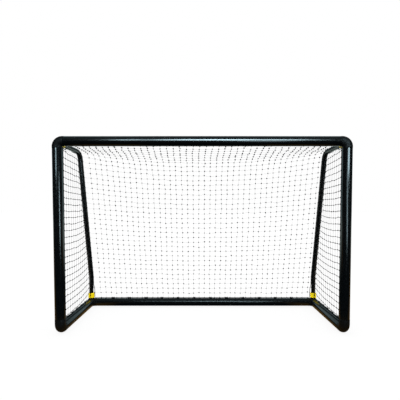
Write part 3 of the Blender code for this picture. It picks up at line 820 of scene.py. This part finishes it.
def back_net():
    """Roof and back: a panel hung from the crossbar, the braces and the rear hooks."""
    dice = random.Random(7)
    rest_radius = CORNER_RADIUS + BORDER / 2 + 1 * MM
    rear_reach = 11.5 * MM
    lean_ends = 0.14
    bar_back = Vector((REAR_Y + rear_reach, GROUND_Z + math.sqrt(rest_radius ** 2 - rear_reach ** 2)))
    start = Vector((POST_Y + TUBE_RADIUS + BORDER / 2, BRACE_TOP_Z))
    edge = Line([start, *brace_line()[1:-1], bar_back])
    hanging = Line(smooth_line([*HANGING_LINE, bar_back]))

    def place(across, share):
        """A place by its shares: -1 to 1 across, and 0 to 1 from the crossbar down."""
        drawn = share - ROWS_CLOSER_UP * share * (1 - share)
        y, z = edge.at(drawn).lerp(hanging.at(drawn), 1 - abs(across) ** SAG_ACROSS)
        lean = LEAN_AT_CROSSBAR * (1 - eased(drawn, 0.0, lean_ends)) * (1 - abs(across))
        return Vector((across * back_border(drawn * edge.length, edge.length) + lean, y, z))

    half = POST_X - BRACE_RADIUS
    outermost = 0.99
    count = int(2 * half / COLUMN_PITCH)
    columns = [(COLUMN_SHIFT + (i - count // 2) * COLUMN_PITCH) / half for i in range(count)]
    columns = [across for across in columns if abs(across) < outermost]
    grid = {}
    for row in range(BACK_ROWS + 1):
        loose = 0.0 if row in (0, BACK_ROWS) else 2.4 * MM
        for column, across in enumerate(columns):
            across_now = across + dice.gauss(0, loose) / half
            spot = place(across_now, row / BACK_ROWS + dice.gauss(0, loose) / edge.length)
            grid[row, column] = spot + Vector((0, 0, dice.gauss(0, loose)))
    uprights = [
        twine_run([grid[row, column] for row in range(BACK_ROWS + 1)], droop=1 * MM, dice=dice)
        for column in range(len(columns))
    ]
    levels, ends = [], []
    for row in range(1, BACK_ROWS):
        left, right = [place(side, row / BACK_ROWS) for side in (-1, 1)]
        ends += [left, right]
        inner = [grid[row, column] for column in range(len(columns))]
        levels.append(twine_run([left, *inner, right], droop=2.5 * MM, dice=dice))
    show_twine("net_back_twine", uprights + levels, TWINE, ["net_back"])
    inside = [spot for (row, column), spot in grid.items() if row > 0]
    show_knots("net_back_knots", inside + ends, dice, NET_TWINE)
    down, wide = 90, 40
    rim = [place(-1, i / down) for i in range(down + 1)]
    rim += [place(2 * i / wide - 1, 1.0) for i in range(1, wide + 1)]
    rim += [place(1, 1 - i / down) for i in range(1, down + 1)]
    top = [place(2 * i / wide - 1, 0.0) for i in range(wide + 1)]
    show_rope("net_back_border", [rim, top], BORDER, 8)


def brace_front():
    """(y, z) line of the side net's border: along the brace's level run, then on its front."""
    first, *rest = brace_line()
    bend = rest[0]
    steps = 16
    points = [*[first.lerp(bend, i / steps) for i in range(steps)], *rest]
    route = []
    for i, point in enumerate(points):
        ahead = points[min(i + 1, len(points) - 1)] - points[max(i - 1, 0)]
        ahead.normalize()
        in_front = eased(point.x, bend.x - 0.12, bend.x - 0.02)
        route.append(point + Vector((ahead.y, -ahead.x)) * BRACE_CLEAR * in_front)
    return route


def side_edge(front):
    """(y, z) line of a side panel's border, from the post along the brace to the ground."""
    collar_top = GROUND_Z + SEAT + COLLAR_LENGTH
    points = [Vector((front, SIDE_TOP)), Vector((POST_Y + SEAT + COLLAR_LENGTH, SIDE_TOP))]
    points += [p for p in brace_front() if p.x > POST_Y + 0.2 and p.y > collar_top + 0.03]
    points += [Vector((SIDE_REAR, collar_top)), Vector((SIDE_REAR, SIDE_LOW))]
    return smooth_line(points, 3)


def hook_loops(name, side, hooks):
    """A short loop of cord over the side bar at each hook."""
    steps, half_length, rise = 16, 14 * MM, 7 * MM
    end_turn, swing = 12, 34
    lowest = TUBE_RADIUS + LACING / 2 + 2 * MM
    loops = []
    for hook in hooks:
        loop = []
        for i in range(steps + 1):
            part = math.pi * i / steps
            turn = math.radians(end_turn + swing * math.sin(part))
            reach = lowest + rise * (1 - math.sin(part))
            loop.append(Vector((
                side * (POST_X + reach * math.sin(turn)), hook - half_length * math.cos(part),
                GROUND_Z + reach * math.cos(turn),
            )))
        loops.append(loop)
    show_rope(name, loops, LACING)


def side_net(label, side):
    """Side panel between a post, a brace and a side bar."""
    dice = random.Random(11 if side > 0 else 12)
    slack, loose = 12 * MM, 2.2 * MM
    room_below, room_above, room_behind = 10 * MM, 15 * MM, 25 * MM
    pull_starts_to_fall, pull_fallen = 0.8, 1.75
    rise, drop = (34 * MM, 34 * MM) if side < 0 else (26 * MM, 24 * MM)
    post_turn = math.radians(50)
    post_reach = TUBE_RADIUS + BORDER / 2 + CORD_GAP
    front = POST_Y + post_reach * math.cos(post_turn)
    front_x = POST_X - post_reach * math.sin(post_turn)
    edge = side_edge(front)
    brace_part = [point for point in edge if point.x > POST_Y + 0.3]

    def edge_z(y):
        """Height of the panel's top or brace edge at a depth."""
        for a, b in zip(edge, edge[1:]):
            if a.x <= y <= b.x:
                return a.lerp(b, (y - a.x) / (b.x - a.x)).y
        return SIDE_LOW

    def edge_y(z):
        """Depth of the panel's rear edge at a height."""
        for a, b in zip(brace_part, brace_part[1:]):
            if b.y <= z <= a.y:
                return a.lerp(b, (a.y - z) / (a.y - b.y)).x
        return brace_part[0].x if z > brace_part[0].y else brace_part[-1].x

    def lift(share, z):
        """How far a row's strand leaves the level: slack, and a pull by the brace."""
        pull = rise - (rise + drop) * eased(z, pull_starts_to_fall, pull_fallen)
        return pull * share ** 4 - slack * math.sin(math.pi * share)

    def spot(y, z, rear):
        """Place of a knot in a row that ends at a depth."""
        share = (y - front) / (rear - front)
        x = front_x + (POST_X - front_x) * share
        return Vector((side * x, y, z + lift(share, z)))

    def border_point(point):
        """Place of the panel's border: inside the post, then outside the brace's level run."""
        share = (point.x - front) / (REAR_Y - front)
        below = max(BRACE_TOP_Z - point.y, 0.0)
        outside = math.sqrt(max(BRACE_CLEAR ** 2 - below ** 2, 0.0))
        x = front_x + (POST_X - front_x) * min(1.0, 3 * share) + outside
        return Vector((side * x, point.x, point.y))

    first_row = SIDE_LOW + SIDE_FIRST_ROW - BORDER
    rows = [first_row + (i - 1) * MESH for i in range(int((BRACE_TOP_Z - first_row) / MESH) + 2)]
    rows = [z for z in rows if SIDE_LOW + room_below < z < SIDE_TOP - room_above]
    columns = [front + i * COLUMN_PITCH for i in range(1, SIDE_COLUMNS + 1)]
    levels, uprights, knots, ties, grid = [], [], [], [], {}
    for row, z in enumerate(rows):
        rear = edge_y(z + lift(1.0, z))
        line = [spot(front, z, rear)]
        for column, y in enumerate(columns):
            if y > rear - room_behind:
                break
            place = spot(y + dice.gauss(0, loose), z + dice.gauss(0, loose), rear)
            grid[row, column] = place
            line.append(place)
            knots.append(place)
        line.append(spot(rear, z, rear))
        ties += [line[0], line[-1]]
        levels.append(twine_run(line, droop=2 * MM, dice=dice))
    over = [math.radians(turn) for turn in (12, 3)]
    bar = TUBE_RADIUS + TWINE
    for column, y in enumerate(columns):
        line = [grid[row, column] for row in range(len(rows)) if (row, column) in grid]
        if not line:
            continue
        end_z = edge_z(y)
        if end_z > line[-1].z:
            line.append(border_point(Vector((y, end_z))))
        shoulder = [
            Vector((side * (POST_X + bar * math.sin(turn)), y, GROUND_Z + bar * math.cos(turn)))
            for turn in over
        ]
        uprights.append([*shoulder, *twine_run(line, droop=1 * MM, dice=dice)])
    name = f"net_{label}"
    show_twine(f"{name}_twine", levels, SIDE_LEVEL_TWINE, [name])
    show_twine(f"{name}_uprights", uprights, SIDE_UPRIGHT_TWINE)
    show_knots(f"{name}_knots", knots, dice, NET_TWINE, SIDE_KNOT_SHARE)
    show_knots(f"{name}_ties", ties, dice, BORDER_ROPE, 1.25)
    hooks = [middle(f"{label}_net_hook_{number}").y for number in range(1, SIDE_HOOKS + 1)]
    hook_loops(f"{name}_loops", side, hooks)

    # The border runs over the hooks, and a second cord lies on the side bar.
    rope_x, rope_z = POST_X + 8 * MM, GROUND_Z + TUBE_RADIUS + 11 * MM
    rim = [border_point(point) for point in edge[:-1]]
    rim += [Vector((side * rope_x, y, rope_z)) for y in (SIDE_REAR, *hooks[::-1], front + 0.06)]
    rim += [Vector((side * front_x, front, SIDE_LOW + 15 * MM)), rim[0]]
    foot_z = GROUND_Z + TUBE_RADIUS + BORDER / 2 + 0.3 * MM
    foot = [Vector((side * rope_x, y, foot_z)) for y in (SIDE_REAR - 0.01, front + 0.05)]
    show_rope(f"{name}_border", [rim, foot], BORDER, 8)


def lashing(label, side):
    """Cord that ties the side and back borders to the brace, with two turns at each row."""
    dice = random.Random(31 + side)
    line = Line([Vector((side * POST_X, y, z)) for y, z in brace_line()])
    above_collar, probe, knot_proud, room = 0.05, 0.004, 0.1, 0.4 * MM
    first = BRACE_APEX_REACH / line.length
    span = 1.0 - (COLLAR_LENGTH + above_collar) / line.length - first
    ties = int(span * line.length / MESH)
    steps = 16
    # The first turn of a tie creeps along the brace, and the second leaps to the next one.
    creep, leap = 0.12, 0.792
    route, knots = [], []
    for tie in range(ties):
        for i in range(2 * steps):
            part = i / (2 * steps)
            share = first + span * (tie + creep * part + leap * eased(part, 0.5, 1.0)) / ties
            ahead = line.at(min(share + probe, 1.0)) - line.at(max(share - probe, 0.0))
            direction = ahead.normalized()
            front = Vector((0, direction.z, -direction.y))
            turn = math.tau * i / steps
            out = front * math.cos(turn) + Vector((side, 0, 0)) * math.sin(turn)
            over_border = BORDER * max(0.0, math.cos(turn)) ** 2
            route.append(line.at(share) + out * (BRACE_RADIUS + LACING / 2 + room + over_border))
        in_front = route[-2 * steps]
        knots.append(in_front + (in_front - line.at(first + span * tie / ties)) * knot_proud)
    show_rope(f"{label}_lashing", [route], LACING)
    show_knots(f"{label}_lashing_knots", knots, dice, BORDER_ROPE, 1.3)


def show_frame():
    """Tubes, corners, braces and the locks at their ends."""
    seam = SEAM + SEAM_GAP
    reach = POST_X - seam
    straight_tube("crossbar", (-reach, POST_Y, CROSSBAR_Z), (reach, POST_Y, CROSSBAR_Z))
    straight_tube("rear_bar", (-reach, REAR_Y, GROUND_Z), (reach, REAR_Y, GROUND_Z))
    for label, side in SIDES:
        x = side * POST_X
        inwards = (-side, 0, 0)
        foot = GROUND_Z + FOOT_SEAM + SEAM_GAP
        straight_tube(f"{label}_post", (x, POST_Y, foot), (x, POST_Y, CROSSBAR_Z - seam))
        straight_tube(f"{label}_side_bar", (x, POST_Y + seam, GROUND_Z), (x, REAR_Y - seam, GROUND_Z))
        sockets = socket_places(side)
        name = f"{label}_top_corner"
        body = elbow((x, POST_Y, CROSSBAR_Z), inwards, (0, 0, -1), SEAM, SEAM)
        show_corner(name, combined(name, [body, *socket_shapes(sockets["upper"])], "UNION"))
        name = f"{label}_rear_corner"
        body = elbow((x, REAR_Y, GROUND_Z), inwards, (0, -1, 0), SEAM, SEAM)
        body = combined(name, [body, *socket_shapes(sockets["lower"])], "UNION")
        show_corner(name, flat_sole(body))
        body = elbow((x, POST_Y, GROUND_Z), (0, 0, 1), (0, 1, 0), FOOT_SEAM, SEAM)
        show_corner(f"{label}_front_corner", flat_sole(body))
        brace_tube(label, side, sockets)
        for level, place in sockets.items():
            collar(f"{label}_{level}_collar", place)
            push_button(f"{label}_{level}", place)
            lock_pin(f"{label}_{level}", place)
            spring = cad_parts[f"{label}_{level}_leaf_spring"]
            spring.data.materials.clear()
            spring.data.materials.append(SPRING_STEEL)


def show_net():
    back_net()
    for label, side in SIDES:
        side_net(label, side)
        lashing(label, side)


LAMP_TINT = "#D4F4FF"
GLOSS_TINT = "#DAFAFF"
CROSSBAR_ROW_WATTS = (1.9, 0.7, 2.3, 3.5, 4.0, 3.7, 2.3, 2.4, 1.4)

# Painted reflections: colours that the floor gives off to glossy rays alone, by its depth in metres,
# under the sides and between them
FLOOR_REFLECTION_BEHIND = ((1.5, "#20201E"), (5.0, "#D0E0DA"))
FLOOR_REFLECTION_BESIDE = ((-0.8, "#040404"), (-0.45, "#8A6A30"), (0.3, "#8A6A30"), *FLOOR_REFLECTION_BEHIND)
FLOOR_REFLECTION_BETWEEN = ((-0.8, "#040404"), (0.3, "#0A0C0C"), *FLOOR_REFLECTION_BEHIND)


def camera():
    """The photograph's view: f 312 px in a 400 px frame, a little off centre."""
    data = bpy.data.cameras.new("camera")
    holder = bpy.data.objects.new("camera", data)
    SCENE.collection.objects.link(holder)
    frame_pixels, focal_pixels = 400, 311.8
    centre_x, centre_y = 202.3, 217.5
    data.sensor_width = 36.0
    data.lens = focal_pixels / frame_pixels * data.sensor_width
    data.shift_x = -(centre_x - frame_pixels / 2) / frame_pixels
    data.shift_y = (centre_y - frame_pixels / 2) / frame_pixels
    data.clip_end = 200.0
    distance, eye_height, tilt_down = 3.14, 1.303, 2.10
    holder.location = (0.0, POST_Y - distance, eye_height)
    holder.rotation_euler = (math.radians(90 - tilt_down), 0.0, 0.0)
    SCENE.camera = holder


def softbox(name, place, target, size, power, spread, roll=0):
    """A studio lamp aimed at a point. It shows in gloss alone."""
    data = bpy.data.lights.new(name, "AREA")
    data.shape = "RECTANGLE"
    data.size, data.size_y = size
    data.energy = power
    data.color = linear(LAMP_TINT)[:3]
    data.spread = math.radians(spread)
    holder = bpy.data.objects.new(name, data)
    SCENE.collection.objects.link(holder)
    holder.location = place
    aim = Vector(target) - Vector(place)
    holder.rotation_euler = aim.to_track_quat("-Z", "Y").to_euler()
    holder.rotation_euler.rotate_axis("Z", math.radians(roll))
    holder.visible_camera = False
    holder.visible_diffuse = False


def lamps():
    """A row of lamps for the crossbar's highlight, and a strip for each post's."""
    row_y, row_z, row_start, row_pitch = POST_Y - 3.15, 3.15, -2.04, 0.6
    for i, watts in enumerate(CROSSBAR_ROW_WATTS):
        # Each lamp faces the place on the crossbar where it shows, away from the posts.
        x = row_start + row_pitch * i
        softbox(
            f"crossbar_row_{i + 1}", (x, row_y, row_z), (x / 2, POST_Y, CROSSBAR_Z),
            size=(0.6, 1.2), power=watts, spread=34,
        )
    strip_y, strip_z = POST_Y - 2.42, 1.5
    for label, side, x, roll, power in (("left", -1, 1.7, 0, 9.0), ("right", 1, 1.2, 30, 4.4)):
        softbox(
            f"{label}_post_strip", (x, strip_y, strip_z), (side * POST_X, POST_Y, strip_z),
            size=(0.5, 2.2), power=power, spread=72, roll=roll,
        )


def ray_kinds(tree):
    """Two factors: one for glossy rays, and one for camera and transmission rays."""
    path = add(tree, "ShaderNodeLightPath").outputs
    seen = add(tree, "ShaderNodeMath", {
        0: path["Is Camera Ray"], 1: path["Is Transmission Ray"],
    }, operation="ADD")
    return path["Is Glossy Ray"], seen.outputs["Value"]


def surroundings():
    """White for the camera and for colours, and a dimmer studio for gloss.

    Glossy rays see the white behind the goal, a pale ceiling and dark sides,
    which keeps the black tubes black and their tops grey.
    """
    ambient, gloss_around, gloss_above, gloss_behind, gloss_middle = 1.9, 0.004, 0.2, 0.9, 0.12
    world = bpy.data.worlds.new("studio")
    SCENE.world = world
    world.use_nodes = True
    tree = world.node_tree
    glossy, seen = ray_kinds(tree)
    direction = add(tree, "ShaderNodeTexCoord").outputs["Generated"]
    parts = add(tree, "ShaderNodeSeparateXYZ", {"Vector": direction}).outputs
    behind = add(tree, "ShaderNodeMapRange", {
        "Value": parts["Y"], "From Min": 0.45, "From Max": 0.85,
        "To Min": gloss_around, "To Max": gloss_behind,
    }, interpolation_type="SMOOTHSTEP").outputs["Result"]
    sideways = add(tree, "ShaderNodeMath", {0: parts["X"]}, operation="ABSOLUTE").outputs["Value"]
    flank = add(tree, "ShaderNodeMapRange", {
        "Value": sideways, "From Min": 0.12, "From Max": 0.32, "To Min": gloss_middle,
    }, interpolation_type="SMOOTHSTEP").outputs["Result"]
    behind = add(tree, "ShaderNodeMath", {0: behind, 1: flank}, operation="MULTIPLY").outputs["Value"]
    above = add(tree, "ShaderNodeMapRange", {
        "Value": parts["Z"], "From Min": 0.3, "From Max": 0.95, "To Max": gloss_above,
    }).outputs["Result"]
    gloss = add(tree, "ShaderNodeMath", {0: behind, 1: above}, operation="MAXIMUM").outputs["Value"]
    unseen = add(tree, "ShaderNodeMix", {"Factor": glossy, "A": ambient, "B": gloss}).outputs["Result"]
    level = add(tree, "ShaderNodeMix", {"Factor": seen, "A": unseen, "B": 1.0})
    tint = add(tree, "ShaderNodeMixRGB", {
        "Fac": glossy, "Color1": (1, 1, 1, 1), "Color2": linear(GLOSS_TINT),
    })
    fill(tree, tree.nodes["Background"], {
        "Strength": level.outputs["Result"], "Color": tint.outputs["Color"],
    })


def painted_reflection_bands(tree, depth, bands):
    """Colour by depth, from pairs of a depth and a colour."""
    near, far = bands[0][0], bands[-1][0]
    share = add(tree, "ShaderNodeMapRange", {"Value": depth, "From Min": near, "From Max": far})
    ramp = add(tree, "ShaderNodeValToRGB", {"Fac": share.outputs["Result"]})
    stops = ramp.color_ramp.elements
    while len(stops) < len(bands):
        stops.new(0.5)
    for stop, (y, code) in zip(stops, bands):
        stop.position = (y - near) / (far - near)
        stop.color = linear(code)
    return ramp.outputs["Color"]


def floor_paper():
    """Matt paper that takes the shadow, lifted to white for camera rays.

    For glossy rays it glows instead, as a painted reflection: dark in front of the goal and under its
    middle, warm brown under its sides, and pale behind it.
    """
    camera_lift, middle_ends, side_starts = 0.89, 1.1, 1.3
    made, tree, shader, place = new_finish("floor_paper")
    glossy, seen = ray_kinds(tree)
    lift = add(tree, "ShaderNodeMath", {0: seen, 1: camera_lift}, operation="MULTIPLY")
    fill(tree, shader, {
        "Base Color": linear("#4A4A4A"), "Roughness": 0.9, "Specular IOR Level": 0.0,
        "Emission Color": (1, 1, 1, 1), "Emission Strength": lift.outputs["Value"],
    })
    where = add(tree, "ShaderNodeSeparateXYZ", {"Vector": place}).outputs
    beside, between = [painted_reflection_bands(tree, where["Y"], bands) for bands in (FLOOR_REFLECTION_BESIDE, FLOOR_REFLECTION_BETWEEN)]
    off_middle = add(tree, "ShaderNodeMath", {0: where["X"]}, operation="ABSOLUTE").outputs["Value"]
    to_side = add(tree, "ShaderNodeMapRange", {
        "Value": off_middle, "From Min": middle_ends, "From Max": side_starts,
    })
    # Sockets 6, 7 and output 2 of a Mix node are its two colours and their mix.
    # Painted reflection: the glow that glossy rays see on the floor, warm brown under the sides.
    painted_reflection_tone = add(tree, "ShaderNodeMix", {
        "Factor": to_side.outputs["Result"], 6: between, 7: beside,
    }, data_type="RGBA")
    painted_reflection = add(tree, "ShaderNodeEmission", {"Color": painted_reflection_tone.outputs[2], "Strength": 1.0})
    pick = add(tree, "ShaderNodeMixShader", {
        0: glossy, 1: shader.outputs["BSDF"], 2: painted_reflection.outputs["Emission"],
    })
    fill(tree, tree.nodes["Material Output"], {"Surface": pick.outputs["Shader"]})
    return made


def floor():
    """A round sheet of pale paper, just under the goal."""
    shape = bmesh.new()
    bmesh.ops.create_circle(
        shape, cap_ends=True, segments=96, radius=60.0, matrix=Matrix.Translation((0, 0, -0.5 * MM)),
    )
    mesh = bpy.data.meshes.new("floor")
    shape.to_mesh(mesh)
    shape.free()
    mesh.materials.append(floor_paper())
    sheet = bpy.data.objects.new("floor", mesh)
    SCENE.collection.objects.link(sheet)


camera()
lamps()
surroundings()
floor()
show_frame()
net_hooks()
show_net()

SCENE.view_settings.view_transform = "Standard"
